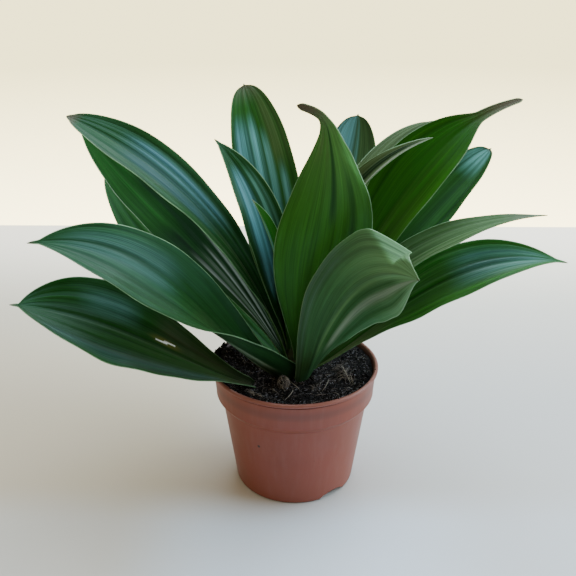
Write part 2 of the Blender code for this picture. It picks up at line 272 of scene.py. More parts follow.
# A blade's face: how far its fine veins vary its colour, how rough it is and how far that varies, its bump in
# millimetres, and how strongly it reflects. The wax on it tints what it reflects.
Side = namedtuple("Side", "vein_tone roughness unevenness bump reflection")
UPPER_SIDES = {
    "waxy": Side(0.34, 0.38, 0.08, 0.06, 0.18),
    "dull": Side(0.26, 0.46, 0.06, 0.05, 0.10),
    "matt": Side(0.30, 0.55, 0.06, 0.06, 0.03),
}
UNDERSIDE = Side(0.24, 0.55, 0.05, 0.06, 0.15)
WAX_TINT = (0.45, 0.85, 0.85)

# A dent that creases one side of the blade: the side (1 is the left, looking out along the leaf), where along
# the leaf, how far it reaches each way at the margin, the share of the half width that it reaches inwards,
# and how far it turns the blade up.
Dent = namedtuple("Dent", "side where reach share turn")
CREASE = 0.2

# A slit through the blade: where along it and across it, its length and its width, and how far it turns from
# the leaf's length towards the left margin. Round it the tissue is yellowed.
Tear = namedtuple("Tear", "along across length width turn")
TEAR_HALO = 0.8
TEAR_HALO_WIDTH = 4.0
TEAR_SIDES = 24
TEAR_DEPTH = 3.0

# A band of colour along a face of the blade: its middle across the blade, its half width there, where it
# starts and ends along the blade, and its colour. Some bands are the leaf's own colour, and some are painted
# sheen, reflections or shade.
Band = namedtuple("Band", "across width start end colour")
BAND_FADE = 0.12


def painted_sheen(paleness, blue=0.092):
    """A painted bluish sheen: the colour of light reflected from the wax, laid into the blade's colour."""
    return (0.042 * paleness, 0.118 * paleness, blue * paleness)


@dataclass(frozen=True)
class Leaf:
    """One leaf. Its slopes and courses are those of its middle line at the base, halfway and at the tip, and
    its rolls turn the blade about that line at the same places. A slope is measured up from the level, and a
    course from +X towards +Y.

    The blade is base wide at its base and widest at the share widest of its length. A larger spread keeps it
    narrow for longer, and a larger point keeps it wide for longer. Its margins meet in a point where blunt is
    1, and round off where it is less. It is folded up along its middle by fold, and by tip_fold at its tip.
    The drip tip takes the last share, drip, of the length, and starts at a neck, from where it narrows to the
    share neck_end. There drip_turn, drip_lift and drip_roll are added to the course, slope and roll. The base
    wraps the cane, and opens by the share opens of the length. A leaf whose base lies in the peat has a
    reach: how far from the plant's axis it comes out.

    Upper and under are the faces' colours, shine is the kind of upper face, and the bands lie over them, some
    of them painted sheen, reflections or shade. The pleats and the ruffle of the margins are heights, and the
    tip is brown for the length brown_tip."""

    name: str
    height: float
    length: float
    width: float
    slopes: tuple
    courses: tuple
    rolls: tuple = (0, 0, 0)
    widest: float = 0.5
    base: float = BASE_WIDTH
    spread: float = 1.0
    point: float = 1.9
    fold: float = 22.0
    tip_fold: float = 26.0
    blunt: float = 1.0
    drip: float = 0.03
    drip_turn: float = 0.0
    drip_lift: float = 0.0
    drip_roll: float = 0.0
    neck: float = 4.2
    neck_end: float = 0.25
    opens: float = 0.35
    reach: float = None
    dent: Dent = None
    tear: Tear = None
    upper: tuple = GREEN
    under: tuple = UNDER_GREEN
    shine: str = "waxy"
    bands: tuple = ()
    under_bands: tuple = ()
    pleats: float = 0.30
    ruffle: float = 0.9
    brown_tip: float = 4.0


LEAVES = (
    Leaf("leaf_left_low", 83.1, 172, 66, (31, 35, 12), (208, 203, 199), rolls=(-10, -27, -22),
         widest=0.62, base=14, spread=1.4, point=2.2, blunt=0.75, reach=37, under=SHADED_GREEN,
         tear=Tear(0.41, -0.20, 15.5, 0.4, 11),
         bands=(Band(-0.45, 0.35, 0.5, 0.8, painted_sheen(1.1)), Band(0.7, 0.3, 0.1, 0.95, painted_sheen(0.6)),
                Band(-0.6, 0.75, -0.2, 0.5, BROWN_SHADE), Band(0.0, 1.6, -0.4, 0.16, DEEP_SHADE))),
    Leaf("leaf_left_broad", 83.4, 206, 63, (37, 47.5, -1), (225, 198, 199), rolls=(12, -22, -38),
         widest=0.54, base=36, spread=1.2, blunt=0.9, opens=0.7, reach=14, upper=BLUE_GREEN, pleats=0.46,
         under=SHADED_GREEN,
         bands=(Band(-0.25, 0.6, 0.5, 0.95, painted_sheen(0.75)), Band(0.5, 0.4, 0.45, 0.95, painted_sheen(0.5, 0.06))),
         under_bands=(Band(0.1, 0.12, 0.02, 0.4, STREAK_GREY), Band(0.4, 0.1, 0.05, 0.4, STREAK_GREY))),
    Leaf("leaf_left_rear", 87, 217, 64, (26, 34, 34), (137, 147, 149), rolls=(0, -25, -25), base=9,
         spread=1.4, blunt=0.75, shine="dull", upper=MID_GREEN),
    # Its channel is painted deep shade, streaked with painted grey reflections.
    Leaf("leaf_left_inner", 93, 235, 62, (55, 39.5, 34), (150, 153, 160), rolls=(0, -15, -30),
         widest=0.55, spread=1.7, blunt=0.8, shine="matt", pleats=0.45, upper=DARK_GREEN,
         bands=(Band(-0.1, 0.3, 0.4, 0.8, DEEP_SHADE), Band(0.0, 1.5, -0.2, 0.6, DEEP_SHADE),
                Band(-0.5, 0.06, 0.0, 0.5, CHANNEL_REFLECTION_GREY), Band(-0.28, 0.07, 0.0, 0.5, CHANNEL_REFLECTION_GREY),
                Band(-0.02, 0.06, 0.0, 0.45, CHANNEL_REFLECTION_GREY), Band(0.25, 0.08, 0.0, 0.45, CHANNEL_REFLECTION_GREY),
                Band(0.5, 0.06, 0.0, 0.45, CHANNEL_REFLECTION_GREY))),
    Leaf("leaf_left_long", 97, 229, 41, (75.5, 49, 21), (172, 172, 172), rolls=(0, -18, -30),
         widest=0.68, spread=1.4, blunt=0.6, drip=0.015, neck=8, neck_end=0.5, upper=BLUE_GREEN, brown_tip=9,
         bands=(Band(0.15, 0.5, 0.42, 0.86, painted_sheen(0.6, 0.12)), Band(-0.42, 0.3, 0.4, 0.86, painted_sheen(1.1, 0.14)))),
    Leaf("leaf_back_left", 102.5, 190, 44, (78, 71, 52), (120, 120, 120), rolls=(0, -25, -25),
         base=10, spread=1.3, point=2.6, blunt=0.45, drip=0.01, upper=BACK_GREEN, pleats=0.42, brown_tip=4,
         bands=(Band(0.6, 0.35, 0.2, 0.9, painted_sheen(3.0, 0.14)), Band(0.14, 0.2, 0.2, 0.9, painted_sheen(3.4, 0.13)),
                Band(-0.2, 0.16, 0.2, 0.84, painted_sheen(3.4, 0.12)), Band(-0.55, 0.13, 0.2, 0.72, painted_sheen(3.0, 0.12)),
                Band(-0.6, 0.45, 0.62, 1.0, YELLOWED), Band(0.0, 1.6, 0.9, 1.3, TIP_GREY))),
    Leaf("leaf_inner_left", 105, 156, 33, (77.5, 73.5, 37), (152, 152, 152), rolls=(0, -25, -25),
         base=8, spread=1.3, blunt=0.8, upper=BLUE_GREEN, pleats=0.25, ruffle=0.5,
         bands=(Band(0.3, 0.5, 0.2, 0.88, painted_sheen(2.2, 0.14)), Band(-0.5, 0.3, 0.2, 0.86, painted_sheen(1.6, 0.09)))),
    Leaf("leaf_young_left", 108, 110, 27, (85, 81, 56), (190, 190, 190), rolls=(0, -20, -20),
         base=10, blunt=0.8, shine="dull", upper=MID_GREEN, pleats=0.15, ruffle=0.3,
         bands=(Band(0.5, 0.5, 0.2, 0.9, painted_sheen(1.1)), Band(-0.5, 0.6, -0.2, 1.2, FRESH_BACKLIT_GREEN))),
    Leaf("leaf_front_tall", 100, 200, 61, (80, 71.5, 76), (303, 293, 212), rolls=(0, -25, -10),
         widest=0.45, base=10, spread=1.3, drip=0.08, drip_turn=-40, drip_lift=-60, drip_roll=95,
         neck=8.5, neck_end=0.45, dent=Dent(1, 0.80, 0.16, 0.5, 50), shine="dull", pleats=0.26, brown_tip=24,
         under_bands=(Band(-0.58, 0.2, 0.72, 0.95, STREAK_PALE), Band(-0.12, 0.12, 0.74, 0.95, STREAK_PALE),
                      Band(0.1, 0.1, 0.5, 0.98, STREAK_DARK), Band(0.55, 0.1, 0.4, 0.8, STREAK_DARK))),
    Leaf("leaf_front_bent", 86, 175, 56, (64, 51, 1), (299, 299, 299), rolls=(0, -65, -85),
         widest=0.72, base=15, spread=1.2, drip=0.01, reach=15, dent=Dent(-1, 0.87, 0.1, 0.9, 60),
         under=UNDER_GREY, pleats=0.30, brown_tip=2,
         under_bands=(Band(-0.85, 0.3, -0.2, 0.7, STREAK_BLUE), Band(0.08, 0.14, 0.1, 0.85, STREAK_SOFT),
                      Band(0.26, 0.1, 0.15, 0.95, STREAK_DARK), Band(0.44, 0.12, 0.15, 1.2, STREAK_GREY),
                      Band(0.68, 0.2, 0.2, 0.98, STREAK_DARK))),
    Leaf("leaf_right_low", 84.5, 198, 54, (37, 39, -8), (350, 347, 347), rolls=(0, 20, 22),
         widest=0.6, base=10, spread=1.6, upper=BRIGHT_GREEN, pleats=0.2,
         bands=(Band(0.1, 0.8, 0.6, 1.0, painted_sheen(1.6, 0.11)),)),
    Leaf("leaf_right_arching", 91, 200, 42, (61, 41, 6), (350, 350, 350), rolls=(0, 10, 0),
         spread=1.4, shine="dull", upper=GREY_GREEN, under=UNDER_GREY,
         bands=(Band(0.0, 1.6, 0.84, 1.3, TIP_GREY),)),
    Leaf("leaf_right_rear", 88, 209, 38, (53, 43, 37), (26, 26, 26), rolls=(0, 25, 25),
         base=11, spread=1.6, point=3.4, blunt=0.45, fold=28, tip_fold=55, drip=0.01,
         shine="dull", upper=MID_GREEN, bands=(Band(0.2, 0.9, 0.84, 1.1, painted_sheen(3.4, 0.12)),)),
    Leaf("leaf_right_large", 95.5, 233, 60, (59, 60, 22), (4.5, 4.5, 4.5), rolls=(0, 21, 38),
         widest=0.58, spread=2.4, point=2.3, drip=0.12, drip_lift=-8, neck=13, neck_end=0.3, shine="dull",
         upper=FRESH_BACKLIT_GREEN, pleats=0.18, brown_tip=36),
    Leaf("leaf_back_curling", 100.5, 211, 28, (62, 52, 6), (49, 45, 36), rolls=(0, 15, 20),
         base=8, spread=1.8, blunt=0.7, shine="dull", upper=OLIVE_PALE, pleats=0.45, ruffle=0.6,
         bands=(Band(0.1, 0.25, 0.0, 1.0, OLIVE), Band(-0.5, 0.2, 0.0, 1.0, TIP_GREY))),
    Leaf("leaf_back_right", 98.5, 183, 50, (64, 52, 77), (63, 63, 63), rolls=(0, 10, 0),
         base=10, spread=1.8, point=2.6, blunt=0.42, drip=0.01, brown_tip=2, upper=BACK_OLIVE,
         bands=(Band(0.55, 0.5, 0.4, 1.1, painted_sheen(4.2, 0.15)), Band(0.12, 0.2, 0.4, 1.1, painted_sheen(2.8, 0.14)),
                Band(-0.15, 0.12, 0.4, 1.1, painted_sheen(1.8, 0.11)))),
    Leaf("leaf_young_channelled", 106, 179, 26, (81, 67, 14), (2, 2, 2), rolls=(0, 20, 20),
         base=9, spread=1.6, fold=45, shine="dull", upper=OLIVE_PALE, pleats=0.15, ruffle=0.4,
         bands=(Band(0.25, 0.3, 0.1, 1.0, DEEP_SHADE), Band(-0.6, 0.5, 0.1, 1.1, PALE_GREY))),
    Leaf("leaf_spear", 110, 137, 12, (98, 71, 62), (355, 355, 355),
         base=6, fold=80, shine="dull", pleats=0.0, ruffle=0.0),
)


def smooth(x):
    """Runs from 0 to 1 as x does, with a gentle start and end."""
    x = np.clip(x, 0, 1)
    return x * x * (3 - 2 * x)


def unit(vectors):
    """The vectors made 1 long."""
    return vectors / np.linalg.norm(vectors, axis=-1, keepdims=True)


def polar(radius, turn):
    """The place on the plan at a radius and a course in radians."""
    return radius * math.cos(turn), radius * math.sin(turn)


def through(values, s):
    """The parabola through the values at the base, halfway and at the tip."""
    a, b, c = values
    return a + (4 * b - 3 * a - c) * s + 2 * (a - 2 * b + c) * s**2


def stem_radius(height):
    """The cane's radius at a height above its shoulder."""
    return STEM_RADIUS - STEM_TAPER * (height - STEM_SHOULDER)


def base_reach(leaf):
    """How far the middle of the leaf's base stands from the plant's axis."""
    return leaf.reach or stem_radius(leaf.height) + BASE_GAP


def half_width(leaf, s):
    """Half the blade's width. It grows from the base, falls to a point, and ends in a slender drip tip."""
    widest = leaf.widest
    rising = np.sin(np.pi / 2 * np.clip(s / widest, 0, 1)) ** leaf.spread
    outer = np.clip((s - widest) / (1 - leaf.drip - widest), 0, 1)
    body = np.where(
        s < widest,
        leaf.base + (leaf.width - leaf.base) * rising,
        leaf.width * (1 - outer**leaf.point) ** leaf.blunt,
    )
    taper = leaf.neck_end + (1 - leaf.neck_end) * np.clip((1 - s) / (1.6 * leaf.drip), 0, 1)
    rounded = np.sqrt(np.clip((1 - s) * leaf.length / END_ROUNDING, 0.04, 1))
    drip = leaf.neck * taper * rounded * smooth((s - widest) / 0.2)
    return np.sqrt(body**2 + np.where(s > widest, drip, 0) ** 2) / 2


def dent_angle(dent, s, v):
    """How far the dent turns the blade at v. Its crease runs from the margin inwards and back, in a V."""
    crease = 1 - dent.share * np.clip(1 - np.abs(s - dent.where) / dent.reach, 0, 1)
    return dent.side * np.radians(dent.turn) * smooth((v * dent.side - crease) / CREASE)


def section(leaf, s, u, half, fold):
    """How far a point at u lies across the blade, and how far above its middle line."""
    across = np.zeros_like(u)
    above = np.zeros_like(u)
    for k in range(SECTION_SLICES):
        v = u * (k + 0.5) / SECTION_SLICES
        angle = fold * v
        if leaf.dent:
            angle = angle + dent_angle(leaf.dent, s, v)
        across = across + np.cos(angle) * half * u / SECTION_SLICES
        above = above + np.sin(angle) * half * u / SECTION_SLICES
    return across, above


def heading(slope, course):
    """The way that a line runs at its slope and course."""
    return np.stack([np.cos(slope) * np.cos(course), np.cos(slope) * np.sin(course), np.sin(slope)], -1)


def in_drip(leaf, s):
    """Rises from 0 to 1 over the end of the blade where its drip tip is, and as much again before it."""
    return smooth((s - 1 + 2 * leaf.drip) / (2 * leaf.drip))


def middle_line(leaf):
    """The middle line's points, slopes and courses."""
    t = np.linspace(0, 1, COURSE_STEPS + 1)
    late = in_drip(leaf, t)
    slope = np.radians(through(leaf.slopes, t) + leaf.drip_lift * late)
    course = np.radians(through(leaf.courses, t) + leaf.drip_turn * late)
    ways = heading(slope, course)
    steps = 0.5 * (ways[1:] + ways[:-1]) * leaf.length / COURSE_STEPS
    start = np.array([*polar(base_reach(leaf), course[0]), leaf.height])
    return t, start + np.vstack([np.zeros(3), np.cumsum(steps, 0)]), slope, course


def blade(leaf, s, u):
    """Points of the blade's middle surface: s runs from the base to the tip, and u from the right margin at
    -1 to the left one at 1, looking out along the leaf. Below 0, s runs straight on into the cane or peat."""
    t, line, slopes, courses = middle_line(leaf)
    at = np.stack([np.interp(s, t, line[:, k]) for k in range(3)], -1)
    slope = np.interp(s, t, slopes)
    course = np.interp(s, t, courses)
    along = heading(slope, course)
    sunk = np.maximum(-s, 0) * leaf.length
    at = at - along * sunk[..., None]
    s = np.maximum(s, 0)
    left = np.stack([-np.sin(course), np.cos(course), np.zeros_like(course)], -1)
    up = np.cross(along, left)
    roll = np.radians(through(leaf.rolls, s) + leaf.drip_roll * in_drip(leaf, s))[..., None]
    rolled_left = np.cos(roll) * left + np.sin(roll) * up
    rolled_up = np.cos(roll) * up - np.sin(roll) * left
    base_fold = np.degrees(0.5 * leaf.base / (stem_radius(leaf.height) + BASE_GAP))
    fold = (
        leaf.fold
        + (base_fold - leaf.fold) * (1 - smooth(s / leaf.opens))
        + (leaf.tip_fold - leaf.fold) * smooth((s - 0.7) / 0.3)
    )
    half = half_width(leaf, s) * (1 - SUNK_TAPER * smooth(sunk / SUNK))
    across, above = section(leaf, s, u, half, np.radians(fold))
    return at + rolled_left * across[..., None] + rolled_up * above[..., None]


def pleat_wave(leaf, s, u):
    """The lengthwise pleats, from -1 in a trough to about 1 on a ridge. Each leaf has its own."""
    draw = random.Random(leaf.name)
    wave = np.zeros_like(u)
    for count in PLEAT_COUNTS:
        phase = draw.uniform(0, 2 * math.pi)
        drift = draw.uniform(-1.6, 1.6)
        strength = draw.uniform(0.25, 0.6)
        wave = wave + strength * np.cos(math.pi * count * u + phase + drift * s)
    return wave


def relief(leaf, s, u):
    """How far the surface stands off its smooth form: pleats, the middle groove and ruffled margins."""
    draw = random.Random(leaf.name + " ruffle")
    half = half_width(leaf, s)
    full = np.clip(2 * half / leaf.width, 0, 1) * smooth(s / 0.2)
    pleats = leaf.pleats * pleat_wave(leaf, s, u) * full
    groove = -RIB_GROOVE * np.exp(-((u * half / RIB_WIDTH) ** 2)) * smooth((1 - s) / 0.15) * smooth(s / 0.1)
    ruffle = np.zeros_like(u)
    for side in (-1, 1):
        for count in RUFFLE_COUNTS:
            phase = draw.uniform(0, 2 * math.pi)
            wave = np.sin(2 * math.pi * count * s + phase) / math.sqrt(count)
            ruffle = ruffle + leaf.ruffle * wave * np.clip(u * side, 0, 1) ** 2.5 * full
    return pleats + groove + ruffle


def add_bands(bands, s, u, tone, wave):
    """Lays the bands over a face's tones, streaked by its pleats."""
    for band in bands:
        across = 1 - smooth((np.abs(u - band.across) / band.width - 0.4) / 0.6)
        along = smooth((s - band.start) / BAND_FADE) * smooth((band.end - s) / BAND_FADE)
        laid = (across * along * np.clip(0.75 + 0.4 * wave, 0, 1))[..., None]
        tone = tone * (1 - laid) + np.array(band.colour) * laid
    return tone


def blade_tones(leaf, s, u, under):
    """A face's colours: painted light and shade on its pleats, painted shade along its midrib, browned at its
    tip and yellowed round a tear.
    """
    base = np.array(leaf.under if under else leaf.upper)
    wave = pleat_wave(leaf, s, u)
    # Painted light and shade: paler on the pleats' ridges, darker in their troughs, and darker along the
    # midrib.
    tone = base * (1 + PLEAT_PAINTED_SHADE * wave[..., None])
    half = half_width(leaf, s)
    rib = np.exp(-((u * half / RIB_SHADE_WIDTH) ** 2)) * (1 - s)
    tone = tone * (1 - (RIB_SHADE_UNDER if under else RIB_SHADE) * rib[..., None])
    if under:
        tone = tone * (0.6 + 0.7 * s[..., None]) + np.array(UNDER_PALE) * smooth((s[..., None] - 0.5) / 0.5)
    tone = add_bands(leaf.under_bands if under else leaf.bands, s, u, tone, wave)
    from_tip = (1 - s) * leaf.length
    brown = smooth(1.2 - from_tip / leaf.brown_tip)[..., None]
    tone = tone * (1 - brown) + np.array(BROWN) * brown
    if leaf.tear:
        near = np.hypot(
            (s - leaf.tear.along) * leaf.length / (1.1 * leaf.tear.length),
            (u - leaf.tear.across) * half / TEAR_HALO_WIDTH,
        )
        halo = TEAR_HALO * (1 - smooth(near))[..., None]
        tone = tone * (1 - halo) + np.array(YELLOWED_EDGE) * halo
    return tone


def closed_blade_faces(rows, columns):
    """The faces of a grid's upper side, of its underside, whose points come next, and of the strip round."""
    grid = np.arange((rows + 1) * (columns + 1)).reshape(rows + 1, columns + 1)
    upper = np.stack([grid[:-1, :-1], grid[1:, :-1], grid[1:, 1:], grid[:-1, 1:]], -1).reshape(-1, 4)
    under = upper[:, ::-1] + grid.size
    ring = np.concatenate([grid[:-1, 0], grid[-1, :-1], grid[:0:-1, -1], grid[0, :0:-1]])
    after = np.roll(ring, -1)
    strip = np.stack([ring, ring + grid.size, after + grid.size, after], -1)
    return upper.tolist(), under.tolist(), strip.tolist()


def add_tones(mesh, tones):
    """Gives each point of the mesh its colour."""
    opaque = np.concatenate([np.clip(tones, 0, 1), np.ones((len(tones), 1))], 1)
    colours = mesh.attributes.new("tone", "FLOAT_COLOR", "POINT")
    colours.data.foreach_set("color", opaque.astype(np.float32).ravel())


def leaf_mesh(leaf, finishes):
    """The blade as a closed thin solid, whose outermost column on each side is the hem of its margin."""
    columns = BLADE_COLUMNS + 2
    s = np.linspace(-SUNK / leaf.length, 1, BLADE_ROWS + 1)[:, None] * np.ones(columns + 1)
    inner = np.linspace(-1, 1, BLADE_COLUMNS + 1)
    u = np.concatenate([[-1], inner, [1]]) * np.ones_like(s)
    hem = np.minimum(0.4, HEM / half_width(leaf, s))
    u[:, 1:-1] *= 1 - hem[:, 1:-1]
    middle = blade(leaf, s, u)
    normal = unit(np.cross(np.gradient(middle, axis=0), np.gradient(middle, axis=1)))
    thickness = MARGIN_THICKNESS + (RIB_THICKNESS - MARGIN_THICKNESS) * (1 - np.abs(u)) ** 0.7
    thickness = thickness + BASE_THICKNESS * (1 - smooth(s / 0.25))
    lift = relief(leaf, s, u)
    upper = middle + normal * (lift + thickness / 2)[..., None]
    under = middle + normal * (lift - thickness / 2)[..., None]
    upper_faces, under_faces, strip = closed_blade_faces(BLADE_ROWS, columns)

    mesh = bpy.data.meshes.new(leaf.name + "_blade")
    points = np.concatenate([upper.reshape(-1, 3), under.reshape(-1, 3)]) * MM
    mesh.from_pydata(points.tolist(), [], upper_faces + under_faces + strip)
    for finish in finishes:
        mesh.materials.append(finish)
    column = np.tile(np.arange(columns), BLADE_ROWS)
    at_hem = (column == 0) | (column == columns - 1)
    slots = np.concatenate([np.where(at_hem, 2, 0), np.where(at_hem, 2, 1), np.full(len(strip), 2)])
    mesh.polygons.foreach_set("material_index", slots.astype(np.int32))

    lie = np.stack([u, s * leaf.length / 100, np.full_like(s, LEAVES.index(leaf) * 7.0)], -1).reshape(-1, 3)
    attribute = mesh.attributes.new("lie", "FLOAT_VECTOR", "POINT")
    attribute.data.foreach_set("vector", np.concatenate([lie, lie]).astype(np.float32).ravel())
    add_tones(mesh, np.concatenate([blade_tones(leaf, s, u, side).reshape(-1, 3) for side in (False, True)]))
    mesh.shade_smooth()
    return mesh


def tear_cutter(leaf):
    """A thin lens-shaped prism through the blade, where the leaf is torn."""
    tear = leaf.tear
    step = 0.01
    s = np.array([tear.along, tear.along + step, tear.along])
    u = np.array([tear.across, tear.across, tear.across + step])
    here, ahead, aside = blade(leaf, s, u)
    along = unit(ahead - here)
    normal = unit(np.cross(along, aside - here))
    across = np.cross(normal, along)
    turn = math.radians(tear.turn)
    along, across = (
        along * math.cos(turn) + across * math.sin(turn),
        across * math.cos(turn) - along * math.sin(turn),
    )
    turns = np.linspace(0, 2 * math.pi, TEAR_SIDES, endpoint=False)
    outline = [
        here + along * tear.length / 2 * math.cos(t) + across * tear.width / 2 * math.sin(t) ** 3
        for t in turns
    ]
    work = bmesh.new()
    low = [work.verts.new((p - TEAR_DEPTH * normal) * MM) for p in outline]
    high = [work.verts.new((p + TEAR_DEPTH * normal) * MM) for p in outline]
    work.faces.new(low[::-1])
    work.faces.new(high)
    for k in range(TEAR_SIDES):
        after = (k + 1) % TEAR_SIDES
        work.faces.new((low[k], low[after], high[after], high[k]))
    bmesh.ops.recalc_face_normals(work, faces=work.faces)
    return from_bmesh("tear", work)


def from_bmesh(name, work):
    """Turns a bmesh into an object in the scene, and frees it."""
    mesh = bpy.data.meshes.new(name)
    work.to_mesh(mesh)
    work.free()
    return placed(name, mesh)


def placed(name, data):
    """An object in the scene, for a mesh, a lamp or a camera."""
    made = bpy.data.objects.new(name, data)
    bpy.context.scene.collection.objects.link(made)
    return made


def cut(piece, cutter):
    """Takes the cutter's shape out of the piece, for good."""
    modifier = piece.modifiers.new("cut", "BOOLEAN")
    modifier.operation = "DIFFERENCE"
    modifier.object = cutter
    depsgraph = bpy.context.evaluated_depsgraph_get()
    evaluated = piece.evaluated_get(depsgraph)
    mesh = bpy.data.meshes.new_from_object(evaluated, preserve_all_data_layers=True, depsgraph=depsgraph)
    piece.modifiers.clear()
    piece.data = mesh
    bpy.data.objects.remove(cutter, do_unlink=True)


def build_leaves():
    uppers = {shine: blade_finish("leaf_" + shine, side) for shine, side in UPPER_SIDES.items()}
    under = blade_finish("leaf_under", UNDERSIDE)
    hem = hem_finish()
    for leaf in LEAVES:
        finishes = (uppers[leaf.shine], under, hem)
        piece = placed(leaf.name + "_blade", leaf_mesh(leaf, finishes))
        if leaf.tear:
            cut(piece, tear_cutter(leaf))
        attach(piece, "root")
        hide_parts(leaf.name)


def arc(centre, radius, start, end, steps):
    """Points (radius, height) round an arc, in degrees from the outward direction up."""
    places = [polar(radius, math.radians(start + (end - start) * k / steps)) for k in range(steps + 1)]
    return [(centre[0] + out, centre[1] + up) for out, up in places]


def turned(profile, steps, shape=None):
    """A bmesh of the profile's points (radius, height), turned round the Z axis and then moved by shape."""
    work = bmesh.new()
    points = [work.verts.new((r * MM, 0, z * MM)) for r, z in profile]
    edges = [work.edges.new(pair) for pair in zip(points, points[1:])]
    bmesh.ops.spin(
        work, geom=points + edges, axis=(0, 0, 1), cent=(0, 0, 0), angle=2 * math.pi, steps=steps,
        use_merge=True,
    )
    bmesh.ops.remove_doubles(work, verts=work.verts, dist=0.01 * MM)
    bmesh.ops.recalc_face_normals(work, faces=work.faces)
    if shape:
        for vert in work.verts:
            vert.co = Vector(shape(*(vert.co / MM))) * MM
    return work


def body_radius(height):
    """The outer radius of the pot's straight body at a height."""
    return FOOT_RADIUS + (BODY_TOP_RADIUS - FOOT_RADIUS) * height / BODY_TOP


def pot_outside():
    """The outer profile from the top of the lip down to the middle of the underside."""
    lip_middle = (POT_RADIUS - LIP_ROUNDING, POT_HEIGHT - LIP_ROUNDING)
    lip_foot = POT_HEIGHT - LIP_HEIGHT
    foot_middle = (body_radius(FOOT_ROUNDING) - FOOT_ROUNDING, FOOT_ROUNDING)
    return (
        arc(lip_middle, LIP_ROUNDING, 90, -55, 10)
        + [(COLLAR_TOP_RADIUS - 0.7, lip_foot + 0.3), (COLLAR_TOP_RADIUS - 0.75, lip_foot - 0.1)]
        + [(COLLAR_TOP_RADIUS - 0.15, lip_foot - 0.6), (COLLAR_FOOT_RADIUS + 0.15, COLLAR_FOOT + 1.6)]
        + arc((COLLAR_FOOT_RADIUS - 1.85, COLLAR_FOOT), COLLAR_ROUNDING, 12, -52, 6)
        + [(BODY_TOP_RADIUS + 1.8, BODY_TOP + 2.1), (BODY_TOP_RADIUS + 1.0, BODY_TOP + 1.35)]
        + arc((BODY_TOP_RADIUS + 1.4, BODY_TOP - 0.6), SHOULDER_ROUNDING, 120, 175, 4)
        + [(body_radius(BODY_TOP - 2), BODY_TOP - 2)]
        + arc(foot_middle, FOOT_ROUNDING, -4, -90, 6)
        + [(FOOT_RADIUS - 6, 0), (0, 0)]
    )


def pot_inside():
    """The inner profile from the middle of the floor up to under the lip."""
    return [
        (0, WALL),
        (FOOT_RADIUS - FOOT_ROUNDING, WALL),
        (body_radius(FLOOR_SLOPE_TOP) - WALL, FLOOR_SLOPE_TOP),
        (BODY_TOP_RADIUS - WALL, BODY_TOP),
        (COLLAR_FOOT_RADIUS - WALL, COLLAR_FOOT),
        (COLLAR_TOP_RADIUS - WALL, POT_HEIGHT - LIP_ROUNDING),
        (COLLAR_TOP_RADIUS - WALL + 0.5, POT_HEIGHT - 0.7),
        (COLLAR_TOP_RADIUS - WALL + 1.2, POT_HEIGHT - 0.05),
    ]


def drain_cutter():
    """The arches in the foot and the holes in the floor, as one cutter."""
    work = bmesh.new()

    def add_cylinder(radius, length, matrix):
        bmesh.ops.create_cone(
            work, cap_ends=True, segments=CUTTER_SIDES, radius1=radius * MM, radius2=radius * MM,
            depth=length * MM, matrix=matrix,
        )

    arch_radius = ((ARCH_WIDTH / 2) ** 2 + ARCH_RISE**2) / (2 * ARCH_RISE)
    for course in ARCH_COURSES:
        place = (
            Matrix.Rotation(math.radians(course), 4, "Z")
            @ Matrix.Translation(Vector((FOOT_RADIUS, 0, ARCH_RISE - arch_radius)) * MM)
            @ Matrix.Rotation(math.radians(90), 4, "Y")
        )
        add_cylinder(arch_radius, 2 * ARCH_DEPTH, place)
    for k in range(FLOOR_HOLES):
        place = (
            Matrix.Rotation(math.radians(360 * k / FLOOR_HOLES), 4, "Z")
            @ Matrix.Translation(Vector((FLOOR_HOLE_CIRCLE, 0, 0)) * MM)
        )
        add_cylinder(FLOOR_HOLE_RADIUS, 4 * WALL, place)
    return from_bmesh("drains", work)


def build_pot():
    pot = from_bmesh("pot_moulded", turned(pot_inside() + pot_outside(), POT_STEPS))
    pot.data.materials.append(pot_finish())
    cut(pot, drain_cutter())
    pot.data.shade_smooth()
    pot.data.set_sharp_from_angle(angle=math.radians(SHARP_ANGLE))
    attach(pot, "root")
    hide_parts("pot")


def grain(x, y, seed):
    """A rough surface, as a sum of waves that run all ways."""
    draw = random.Random(seed)
    total = 0.0
    for length, strength in GRAIN_WAVES:
        for _ in range(3):
            way = draw.uniform(0, 2 * math.pi)
            phase = draw.uniform(0, 2 * math.pi)
            total += strength * math.sin(
                2 * math.pi * (x * math.cos(way) + y * math.sin(way)) / length
                + phase
                + 1.3 * math.sin(2 * math.pi * (y * math.cos(way) - x * math.sin(way)) / (1.7 * length))
            )
    return total / 2


def soil_height(x, y):
    """The height of the peat's surface at a place, with its relief, its lumps and the bank at the back, but
    without its grain."""
    waves = math.sin(0.17 * x + 1.1) * math.cos(0.21 * y) + 0.6 * math.sin(0.43 * x - 0.31 * y)
    lumps = sum(
        lump.height * math.exp(-((x - lump.x) ** 2 + (y - lump.y) ** 2) / lump.radius**2) for lump in LUMPS
    )
    outwards = smooth((math.hypot(x, y) - BANK_RADIUS) / BANK_RADIUS)
    banked = BANK * float(outwards * smooth((y - BANK_START) / BANK_RUN))
    return SOIL_LEVEL + SOIL_RELIEF * waves / 1.6 + lumps + banked


def shape_soil(x, y, z):
    """Moves a point of the peat's level top to its real height."""
    if z < SOIL_LEVEL - 0.1:
        return x, y, z
    calm = min(1.0, max(0.1, (SOIL_EDGE_RADIUS - math.hypot(x, y)) / 4 + 0.1))
    return x, y, soil_height(x, y) + SOIL_GRAIN * grain(x, y, 3) * calm


